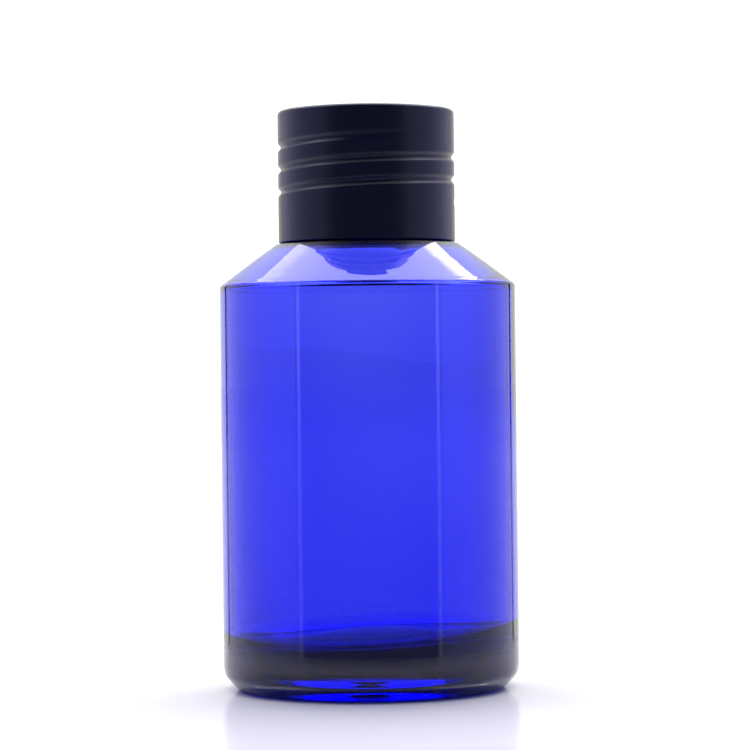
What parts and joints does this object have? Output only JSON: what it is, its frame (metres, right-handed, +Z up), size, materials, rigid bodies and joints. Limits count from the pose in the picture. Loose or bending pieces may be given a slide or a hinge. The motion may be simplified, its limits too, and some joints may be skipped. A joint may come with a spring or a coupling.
{
  "type": "aftershave bottle",
  "caption": "Cylindrical blue glass bottle with a conical shoulder and thick base, an orifice reducer in its neck, and a black screw cap with a rolled helical thread and a foam seal.",
  "frame": {"origin": "centre of the resting ring, on the plane the bottle stands on", "axes": "+Z up along the bottle's axis, towards the cap; -Y is the front, where the cap's groove climbs to the right; the inside floor climbs a little towards +X"},
  "size_m": [0.05, 0.05, 0.0975],
  "materials": {
    "cobalt_glass": "clear cobalt blue soda-lime glass, fire-polished, slightly wavy",
    "cap_black": "satin black lacquer over thin aluminium",
    "foam_white": "closed-cell expanded polyethylene foam",
    "natural_polyethylene": "natural low-density polyethylene, semi-matte, slightly translucent"
  },
  "bodies": {
    "bottle": {"glass_bottle": "cobalt_glass", "orifice_reducer": "natural_polyethylene"},
    "seal": {"cap_liner": "foam_white"},
    "cap": {"cap_shell": "cap_black"}
  },
  "joints": [
    {"name": "cap_lift", "type": "slide", "parent": "bottle", "child": "seal", "axis": [0, 0, 1], "range_m": [0, 0.0228]},
    {"name": "cap_turn", "type": "hinge", "parent": "seal", "child": "cap", "pos_m": [0, 0, 0.0864], "axis": [0, 0, 1], "range_deg": [0, 2160]}
  ],
  "couplings": [
    {"joint": "cap_lift", "follows": "cap_turn", "m_per_rad": 0.00060161}
  ]
}
